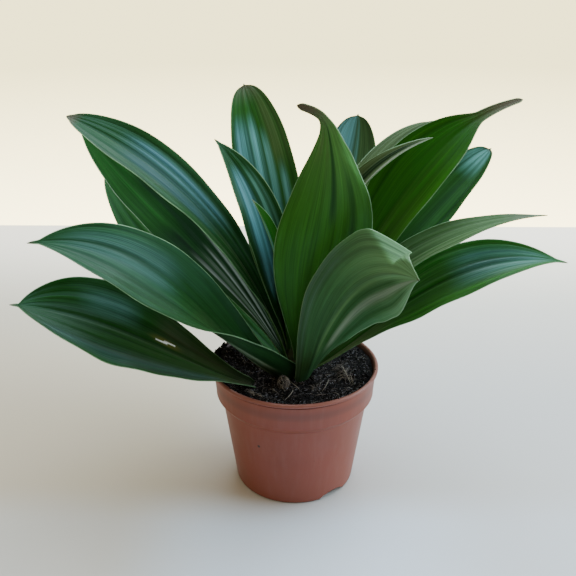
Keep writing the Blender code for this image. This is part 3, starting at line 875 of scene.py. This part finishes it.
def build_soil():
    hole = STEM_RADIUS + GAP
    width = SOIL_EDGE_RADIUS - hole
    top = [(hole + width * k / SOIL_RINGS, SOIL_LEVEL) for k in range(SOIL_RINGS + 1)]
    profile = [(hole, SOIL_LEVEL - SOIL_SKIRT)] + top
    profile += [(COLLAR_FOOT_RADIUS - WALL - GAP, COLLAR_FOOT), (SOIL_FOOT_RADIUS - GAP, BODY_TOP)]
    profile += [(body_radius(FLOOR_SLOPE_TOP) - WALL - GAP, FLOOR_SLOPE_TOP)]
    profile += [(FOOT_RADIUS - FOOT_ROUNDING - GAP, WALL + GAP), (0, WALL + GAP)]
    soil = from_bmesh("peat", turned(profile, SOIL_STEPS, shape_soil))
    soil.data.materials.append(soil_finish())
    soil.data.shade_smooth()
    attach(soil, "root")
    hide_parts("soil")


class Strands:
    """Collects thin curved strands, each a tube of four sides, in one mesh."""

    sides = 4

    def __init__(self):
        self.points = []
        self.faces = []
        self.shades = []

    def add(self, path, radius, shade):
        """One strand along the path, thinner at both its ends."""
        ways = unit(np.gradient(np.array(path, float), axis=0))
        first = unit(np.cross(ways, (0.3, 0.5, 0.81)))
        second = np.cross(ways, first)
        start = len(self.points)
        last = len(path) - 1
        for k, point in enumerate(path):
            here = radius * (0.35 + 0.65 * math.sin(math.pi * (k + 0.5) / (last + 1)))
            for side in range(self.sides):
                turn = 2 * math.pi * side / self.sides
                self.points.append(point + here * (math.cos(turn) * first[k] + math.sin(turn) * second[k]))
                self.shades.append(shade)
        for k in range(last):
            for side in range(self.sides):
                after = (side + 1) % self.sides
                a = start + k * self.sides
                self.faces.append((a + side, a + after, a + self.sides + after, a + self.sides + side))
        self.faces.append(tuple(start + side for side in reversed(range(self.sides))))
        self.faces.append(tuple(start + last * self.sides + side for side in range(self.sides)))

    def build(self, name, finish):
        mesh = bpy.data.meshes.new(name)
        mesh.from_pydata((np.array(self.points) * MM).tolist(), [], self.faces)
        add_tones(mesh, np.array(self.shades))
        mesh.materials.append(finish)
        mesh.shade_smooth()
        piece = placed(name, mesh)
        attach(piece, "root")


def on_soil(x, y, lift):
    """A point at a height over the peat."""
    return np.array([x, y, soil_height(x, y) + lift])


def curl(draw, x, y, length, course, bend, rise, steps=FIBRE_STEPS):
    """A path of a curled fibre that lies on the peat and arches up in its middle."""
    path = []
    for k in range(steps + 1):
        t = k / steps
        path.append(on_soil(x, y, 0.3 + rise * math.sin(math.pi * t)))
        course += bend / steps + draw.uniform(-0.25, 0.25)
        x += length / steps * math.cos(course)
        y += length / steps * math.sin(course)
    return path


def free_spot(draw, inner=12.0, outer=53.0):
    """A random place on the peat between the cane and the pot."""
    radius = math.sqrt(draw.uniform(inner**2, outer**2))
    return polar(radius, draw.uniform(0, 2 * math.pi))


def inside_pot(path):
    """Whether a path keeps clear of the pot and the cane."""
    return all(FIBRE_HOLE < math.hypot(x, y) < FIBRE_EDGE for x, y, _ in path)


def stray(draw, length, bend, rise, steps=FIBRE_STEPS):
    """A curled path somewhere on the peat. Its length and bend are drawn from their ranges."""
    x, y = free_spot(draw)
    return curl(
        draw, x, y, draw.uniform(*length), draw.uniform(0, FULL_TURN), draw.uniform(-bend, bend), rise, steps
    )


def shaded(draw, shades, weakest, strongest):
    """One of the shades, made stronger or weaker."""
    return tuple(np.array(draw.choice(shades)) * draw.uniform(weakest, strongest))


def build_fibres():
    """The fibres in the peat: fine dark ones, flecks, scattered pale ones, and those that stand out."""
    draw = random.Random(11)
    strands = Strands()
    for _ in range(FINE_FIBRES):
        path = stray(draw, (1.5, 6), 3, 0.6)
        if inside_pot(path):
            shade = shaded(draw, (DARK_FIBRE, DARK_FIBRE, GREY_BROWN, STRAW), 0.6, 1.4)
            strands.add(path, draw.uniform(0.06, 0.13), shade)
    for _ in range(FLECKS):
        path = stray(draw, (0.7, 2.2), 2, 0.3, FLECK_STEPS)
        if inside_pot(path):
            strands.add(path, draw.uniform(0.1, 0.2), tuple(np.array(FLECK) * draw.uniform(0.15, 1.3)))
    for _ in range(PALE_FIBRES):
        path = stray(draw, (4, 11), 2.4, 1.0)
        if inside_pot(path):
            shade = shaded(draw, (STRAW, STRAW, PALE), 0.6, 1.0)
            strands.add(path, draw.uniform(0.08, 0.14), shade)
    for start, end, bow, rise, shade in MARKED_FIBRES:
        strands.add(bowed(start, end, bow, rise), MARKED_RADIUS, shade)
    for tuft in TUFTS:
        add_tuft(strands, tuft, draw)
    wrap_lump(strands, LUMPS[0], draw)
    strands.build("peat_fibres", strand_finish())


def bowed(start, end, bow, rise):
    """A path on the peat between two places, bowed sideways and up."""
    start, end = np.array(start, float), np.array(end, float)
    way = unit(end - start)
    aside = np.array([-way[1], way[0]])
    path = []
    for t in np.linspace(0, 1, MARKED_STEPS + 1):
        x, y = start + (end - start) * t + aside * bow * math.sin(math.pi * t)
        path.append(on_soil(x, y, 0.2 + rise * math.sin(math.pi * t)))
    return path


def add_tuft(strands, tuft, draw):
    """Fibres that lie roughly one way in a patch."""
    course = math.radians(tuft.course)
    for _ in range(tuft.count):
        ahead = tuft.length / 2 * draw.uniform(-1, 1)
        aside = tuft.width / 2 * draw.uniform(-1, 1)
        x = tuft.x + ahead * math.cos(course) - aside * math.sin(course)
        y = tuft.y + ahead * math.sin(course) + aside * math.cos(course)
        way = course + draw.uniform(-0.5, 0.5)
        path = curl(draw, x, y, draw.uniform(*tuft.fibre), way, draw.uniform(-1.5, 1.5), 1.2)
        if inside_pot(path):
            shade = shaded(draw, tuft.shades, 0.6, 1.5)
            strands.add(path, draw.uniform(0.07, 0.14), shade)


def wrap_lump(strands, lump, draw):
    """Matted roots wound round the lump beside the front leaf, as if round an upright egg."""
    middle = np.array([lump.x, lump.y, SOIL_LEVEL + EGG_LIFT])
    for _ in range(WOUND_STRANDS):
        first = unit(np.array([draw.gauss(0, 1) for _ in range(3)]))
        second = unit(np.cross(first, [draw.gauss(0, 1) for _ in range(3)]))
        start = draw.uniform(0, 2 * math.pi)
        span = draw.uniform(0.4, 1.3)
        out = draw.uniform(0.85, 1.06)
        turns = np.linspace(start, start + span, 8)[:, None]
        path = middle + out * np.array(EGG) * (np.cos(turns) * first + np.sin(turns) * second)
        shade = shaded(draw, (GREY_BROWN, STRAW, STRAW, PALE), 0.6, 1.4)
        strands.add(path, draw.uniform(0.09, 0.2), shade)


def add_crumb(work, draw, place, size):
    """A small rough lump."""
    made = bmesh.ops.create_icosphere(work, subdivisions=1, radius=size * MM)
    centre = Vector(place) * MM
    turn = draw.uniform(0, FULL_TURN)
    spin = Matrix.Rotation(turn, 3, Vector((draw.uniform(-1, 1), draw.uniform(-1, 1), 1)))
    for vert in made["verts"]:
        rough = vert.co * draw.uniform(0.7, 1.25)
        vert.co = centre + spin @ Vector((rough.x * 1.3, rough.y, rough.z * 0.7))


def on_lip(course, away, lift):
    """A point on the pot's lip, at a radius and a height over it."""
    return *polar(away, course), POT_HEIGHT + lift


def build_crumbs():
    """Loose crumbs of peat, partly sunk in its surface, a few on the pot's lip, and some spilt over it."""
    draw = random.Random(5)
    work = bmesh.new()
    for _ in range(CRUMBS):
        x, y = free_spot(draw, 11.0, 54.3)
        size = 0.25 + 0.8 * draw.random() ** 3
        add_crumb(work, draw, on_soil(x, y, draw.uniform(0.0, 0.5) * size), size)
    for _ in range(LIP_CRUMBS):
        course = draw.uniform(0, 2 * math.pi)
        place = on_lip(course, POT_RADIUS - LIP_ROUNDING + draw.uniform(-0.7, 0.5), 0)
        add_crumb(work, draw, place, draw.uniform(0.15, 0.4))
    for _ in range(SPILT_CRUMBS):
        course = math.radians(draw.triangular(*SPILL_COURSES))
        place = on_lip(course, draw.uniform(56.5, POT_RADIUS + 0.2), draw.uniform(-0.3, 0.5))
        add_crumb(work, draw, place, draw.uniform(0.3, 0.95))
    crumbs = from_bmesh("peat_crumbs", work)
    crumbs.data.materials.append(soil_finish())
    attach(crumbs, "root")


def build_stem():
    """The cane, with the rings that fallen leaves left."""

    def ring(height):
        return STEM_RING_DEPTH * (abs(math.sin(math.pi * height / STEM_RING)) ** 0.5 - 1)

    heights = np.linspace(STEM_TOP, STEM_FOOT, STEM_ROWS)
    side = [(stem_radius(max(z, STEM_SHOULDER)) + ring(z), z) for z in heights]
    top = stem_radius(STEM_TOP)
    stem = from_bmesh(
        "cane", turned([(0, STEM_TOP + 0.3 * top), (0.7 * top, STEM_TOP + 0.2 * top)] + side, STEM_STEPS)
    )
    stem.data.materials.append(stem_finish())
    stem.data.shade_smooth()
    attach(stem, "root")
    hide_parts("stem")


class Nodes:
    """A material's or world's node tree, with short calls to add and join its nodes."""

    def __init__(self, owner):
        owner.use_nodes = True
        self.owner = owner
        self.tree = owner.node_tree

    def join(self, socket, value):
        """Sets an input, or joins it if value is another node's output."""
        if isinstance(value, bpy.types.NodeSocket):
            self.tree.links.new(value, socket)
        elif socket.type == "RGBA":
            socket.default_value = (*value, 1.0)
        else:
            socket.default_value = value

    def add(self, kind, inputs=None, **settings):
        node = self.tree.nodes.new(kind)
        for key, value in settings.items():
            setattr(node, key, value)
        for key, value in (inputs or {}).items():
            self.join(node.inputs[key], value)
        return node

    def place(self):
        """Where a point lies on its object, in metres."""
        return self.add("ShaderNodeTexCoord").outputs["Object"]

    def attribute(self, name, output):
        return self.add("ShaderNodeAttribute", attribute_name=name).outputs[output]

    def number(self, operation, first, second=0.0):
        return self.add("ShaderNodeMath", {0: first, 1: second}, operation=operation).outputs["Value"]

    def distance(self, place, centre):
        node = self.add("ShaderNodeVectorMath", {0: place, 1: centre}, operation="DISTANCE")
        return node.outputs["Value"]

    def scaled(self, vector, scale):
        node = self.add("ShaderNodeVectorMath", {0: vector, 1: scale}, operation="MULTIPLY")
        return node.outputs["Vector"]

    def noise(self, vector, scale, detail=3.0, roughness=0.55):
        node = self.add(
            "ShaderNodeTexNoise", {"Vector": vector, "Scale": scale, "Detail": detail, "Roughness": roughness}
        )
        return node.outputs["Fac"]

    def ranged(self, value, low, high, to_low, to_high, interpolation="LINEAR"):
        """Moves a value from one range to another."""
        node = self.add(
            "ShaderNodeMapRange",
            {"Value": value, "From Min": low, "From Max": high, "To Min": to_low, "To Max": to_high},
            interpolation_type=interpolation,
        )
        return node.outputs["Result"]

    def eased(self, *limits):
        """Like ranged, but it starts and ends gently."""
        return self.ranged(*limits, interpolation="SMOOTHSTEP")

    def mix(self, factor, first, second):
        node = self.add("ShaderNodeMix", data_type="RGBA")
        sockets = [socket for socket in node.inputs if socket.enabled]
        for socket, value in zip(sockets, (factor, first, second)):
            self.join(socket, value)
        return [socket for socket in node.outputs if socket.enabled][0]

    def ramp(self, value, stops):
        node = self.add("ShaderNodeValToRGB", {"Fac": value})
        while len(node.color_ramp.elements) < len(stops):
            node.color_ramp.elements.new(0.5)
        for element, (position, colour) in zip(node.color_ramp.elements, stops):
            element.position = position
            element.color = (*colour, 1.0)
        return node.outputs["Color"]

    def bump(self, height, distance, normal=None):
        """Raises the surface by a height, given in millimetres, on top of an earlier bump."""
        node = self.add("ShaderNodeBump", {"Height": height, "Distance": distance * MM, "Strength": 1.0})
        if normal:
            self.join(node.inputs["Normal"], normal)
        return node.outputs["Normal"]

    def finish(self, **values):
        """Sets the shader's own inputs, with spaces for the underscores in their names."""
        shader = self.tree.nodes["Principled BSDF"]
        for key, value in values.items():
            self.join(shader.inputs[key.replace("_", " ")], value)
        return self.owner


def material(name):
    return Nodes(bpy.data.materials.new(name))


def blade_finish(name, side):
    """Leaf tissue: the mesh's own tones, with fine veins that run along the blade."""
    nodes = material(name)
    lie = nodes.attribute("lie", "Vector")
    veins = nodes.noise(nodes.scaled(lie, (38, 1.6, 1)), 1.0, 2.0)
    bands = nodes.noise(nodes.scaled(lie, (7, 1.1, 1)), 1.0, 2.0)
    patches = nodes.noise(nodes.scaled(lie, (2.2, 5, 1)), 1.0, 3.0)
    strength = nodes.ranged(veins, 0.3, 0.7, 1 - side.vein_tone, 1 + side.vein_tone)
    banding = nodes.ranged(bands, 0.3, 0.7, 0.82, 1.18)
    colour = nodes.scaled(nodes.scaled(nodes.attribute("tone", "Color"), strength), banding)
    smoothest, roughest = side.roughness - side.unevenness, side.roughness + side.unevenness
    return nodes.finish(
        Base_Color=colour,
        Roughness=nodes.ranged(patches, 0.3, 0.7, smoothest, roughest),
        Normal=nodes.bump(bands, 6 * side.bump, nodes.bump(veins, side.bump)),
        Specular_IOR_Level=side.reflection,
        Specular_Tint=WAX_TINT,
    )


def hem_finish():
    """The blade's pale, hard margin."""
    nodes = material("leaf_margin")
    along = nodes.noise(nodes.scaled(nodes.attribute("lie", "Vector"), (1, 6, 1)), 1.0, 3.0)
    paleness = nodes.ranged(along, 0.35, 0.65, 0.35, 0.95)
    return nodes.finish(
        Base_Color=nodes.mix(paleness, nodes.attribute("tone", "Color"), HEM_GREEN), Roughness=0.45
    )


def pot_finish():
    """Terracotta-brown moulded plastic with a soft gloss, faint streaks and flecks, and one dark speck. It is
    paler at its foot. Its lip has a painted highlight, and painted shade darkens it under the lip, at the
    very foot and inside."""
    nodes = material("pot_plastic")
    place = nodes.place()
    clouds = nodes.noise(place, 28.0, 4.0)
    streaks = nodes.noise(nodes.scaled(place, (1, 1, 0.12)), 260.0, 2.0)
    flecks = nodes.noise(place, 900.0, 2.0)
    colour = nodes.ramp(clouds, ((0.3, PLASTIC_DEEP), (0.7, PLASTIC_CLEAR)))
    colour = nodes.mix(nodes.ranged(streaks, 0.45, 0.75, 0.0, 0.25), colour, PLASTIC_STREAK)
    colour = nodes.mix(nodes.ranged(flecks, 0.68, 0.75, 0.0, 0.5), colour, PLASTIC_FLECK)

    height = nodes.add("ShaderNodeSeparateXYZ", {0: place}).outputs["Z"]
    away = nodes.distance(nodes.scaled(place, (1, 1, 0)), (0, 0, 0))
    inside = nodes.ranged(away, *(radius * MM for radius in INSIDE_RADII), 0.8, 0.0)
    below_lip = nodes.number("SUBTRACT", height, (POT_HEIGHT - LIP_HEIGHT) * MM)
    from_crease = nodes.number("ABSOLUTE", below_lip)
    from_speck = nodes.distance(place, tuple(value * MM for value in SPECK))
    # Colours by height and distance: paler at the foot, a painted highlight along the lip, painted shade
    # inside, in the crease under the lip and at the very foot, and the dark speck.
    for tone, length, low, high, at_low, at_high in (
        (PLASTIC_FOOT, height, 4, 34, 0.35, 0.0),
        (PLASTIC_LIP_HIGHLIGHT, height, POT_HEIGHT - 3, POT_HEIGHT, 0.0, 0.45),
        (PLASTIC_INSIDE_SHADE, height, SOIL_LEVEL - 5, SOIL_LEVEL, 0.0, inside),
        (PLASTIC_SHADE, from_crease, 0.2, 0.75, 0.7, 0.0),
        (PLASTIC_SHADE, height, 0.5, 1.5, 0.85, 0.0),
        (SPECK_COLOUR, from_speck, 0.6 * SPECK_RADIUS, SPECK_RADIUS, 1.0, 0.0),
    ):
        share = nodes.ranged(length, low * MM, high * MM, at_low, at_high)
        colour = nodes.mix(share, colour, tone)
    roughness = nodes.ranged(clouds, 0.3, 0.7, 0.40, 0.52)
    normal = nodes.bump(flecks, 0.02, nodes.bump(streaks, 0.03))
    return nodes.finish(Base_Color=colour, Roughness=roughness, Normal=normal)


def soil_finish():
    """Damp near-black peat, with brown and grey bits in it."""
    nodes = material("peat")
    place = nodes.place()
    coarse = nodes.noise(place, 420.0, 5.0, 0.65)
    fine = nodes.noise(place, 1500.0, 3.0, 0.6)
    colour = nodes.ramp(coarse, PEAT_TONES)
    colour = nodes.mix(nodes.ranged(fine, 0.60, 0.68, 0.0, 0.8), colour, PEAT_BIT)
    normal = nodes.bump(fine, 0.4, nodes.bump(coarse, 1.2))
    return nodes.finish(Base_Color=colour, Roughness=0.85, Specular_IOR_Level=0.15, Normal=normal)


def strand_finish():
    """Dry fibres in their own tones, unevenly worn."""
    nodes = material("peat_fibre")
    worn = nodes.ranged(nodes.noise(nodes.place(), 700.0, 2.0), 0.3, 0.7, 0.6, 1.3)
    return nodes.finish(Base_Color=nodes.scaled(nodes.attribute("tone", "Color"), worn), Roughness=0.8)


def stem_finish():
    """Dull green skin with brown patches."""
    nodes = material("cane_skin")
    patches = nodes.noise(nodes.place(), 300.0, 4.0)
    colour = nodes.ramp(patches, ((0.35, CANE_GREEN), (0.65, CANE_BROWN)))
    return nodes.finish(Base_Color=colour, Roughness=0.6, Normal=nodes.bump(patches, 0.3))


def floor_finish():
    """Painted light: warmer at the left and cooler at the right, brighter and bluer in front, where it
    offsets the pot's shade, and pale at its far edge, where it glows.
    """
    nodes = material("floor_surface")
    axes = nodes.add("ShaderNodeSeparateXYZ", {0: nodes.place()}).outputs
    colour = nodes.mix(nodes.eased(axes["X"], -0.12, 0.05, 0.0, 1.0), FLOOR_LEFT_PAINTED_WARM, FLOOR_RIGHT_PAINTED_COOL)
    front = nodes.eased(axes["Y"], -0.02, -0.07, 0.0, nodes.eased(axes["X"], -0.13, -0.04, 0.3, 1.0))
    front = nodes.eased(axes["X"], 0.04, 0.16, front, nodes.number("MULTIPLY", front, 0.3))
    colour = nodes.mix(front, colour, FLOOR_FRONT_PAINTED_LIGHT)
    colour = nodes.mix(nodes.eased(axes["Y"], 0.05, 0.5, 0.0, 1.0), colour, FLOOR_BACK_PAINTED_LIGHT)
    glow = nodes.eased(axes["Y"], 0.28, 0.59, 0.0, FAR_PAINTED_GLOW)
    return nodes.finish(Base_Color=colour, Roughness=0.6, Emission_Color=FLOOR_BACK_PAINTED_LIGHT, Emission_Strength=glow)


def build_floor():
    """A plain pale surface, whose colours hold painted light."""
    work = bmesh.new()
    bmesh.ops.create_grid(work, x_segments=1, y_segments=1, size=FLOOR_SIZE * MM / 2)
    floor = from_bmesh("floor", work)
    floor.location.z = -FLOOR_DROP * MM
    floor.data.materials.append(floor_finish())


def build_lamps():
    """Soft light from above and from the right."""
    for lamp in LAMPS:
        light = bpy.data.lights.new(lamp.name, "AREA")
        light.shape = "RECTANGLE"
        light.size = lamp.width * MM
        light.size_y = lamp.height * MM
        light.energy = lamp.power
        light.color = lamp.colour
        made = placed(lamp.name, light)
        made.location = Vector(lamp.at) * MM
        aim = Vector(lamp.aim) * MM - made.location
        made.rotation_euler = aim.to_track_quat("-Z", "Y").to_euler()


def build_world():
    """Past the floor it is plain and pale, paler lower down, and the light from all round is dimmer."""
    nodes = Nodes(bpy.data.worlds.new("studio"))
    bpy.context.scene.world = nodes.owner
    ambient = nodes.tree.nodes["Background"]
    nodes.join(ambient.inputs["Color"], AMBIENT)
    nodes.join(ambient.inputs["Strength"], AMBIENT_STRENGTH)
    way = nodes.add("ShaderNodeTexCoord").outputs["Generated"]
    height = nodes.add("ShaderNodeSeparateXYZ", {0: way}).outputs["Z"]
    lowness = nodes.ranged(height, *BACKDROP_HEIGHTS, 0.0, 1.0)
    fade = nodes.ramp(lowness, ((0, BACKDROP_HIGH), (1, BACKDROP_LOW)))
    backdrop = nodes.add("ShaderNodeBackground", {"Color": fade, "Strength": BACKDROP_STRENGTH})
    seen = nodes.add("ShaderNodeLightPath").outputs["Is Camera Ray"]
    shaders = {0: seen, 1: ambient.outputs["Background"], 2: backdrop.outputs["Background"]}
    choose = nodes.add("ShaderNodeMixShader", shaders)
    nodes.join(nodes.tree.nodes["World Output"].inputs["Surface"], choose.outputs["Shader"])


def build_camera():
    data = bpy.data.cameras.new("camera")
    data.lens = FOCAL_LENGTH
    data.sensor_width = SENSOR
    camera = placed("camera", data)
    camera.location = Vector(EYE) * MM
    camera.rotation_euler = (math.radians(90 - LOOK_DOWN), 0, math.radians(-LOOK_RIGHT))
    bpy.context.scene.camera = camera


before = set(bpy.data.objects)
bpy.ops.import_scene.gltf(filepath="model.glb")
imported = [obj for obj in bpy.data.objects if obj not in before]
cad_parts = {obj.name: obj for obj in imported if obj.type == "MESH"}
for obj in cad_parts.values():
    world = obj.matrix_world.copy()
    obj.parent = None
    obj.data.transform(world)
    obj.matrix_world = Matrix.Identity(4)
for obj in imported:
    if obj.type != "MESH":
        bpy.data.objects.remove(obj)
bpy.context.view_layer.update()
build_camera()
build_world()
build_lamps()
build_floor()
build_pot()
build_soil()
build_crumbs()
build_fibres()
build_stem()
build_leaves()
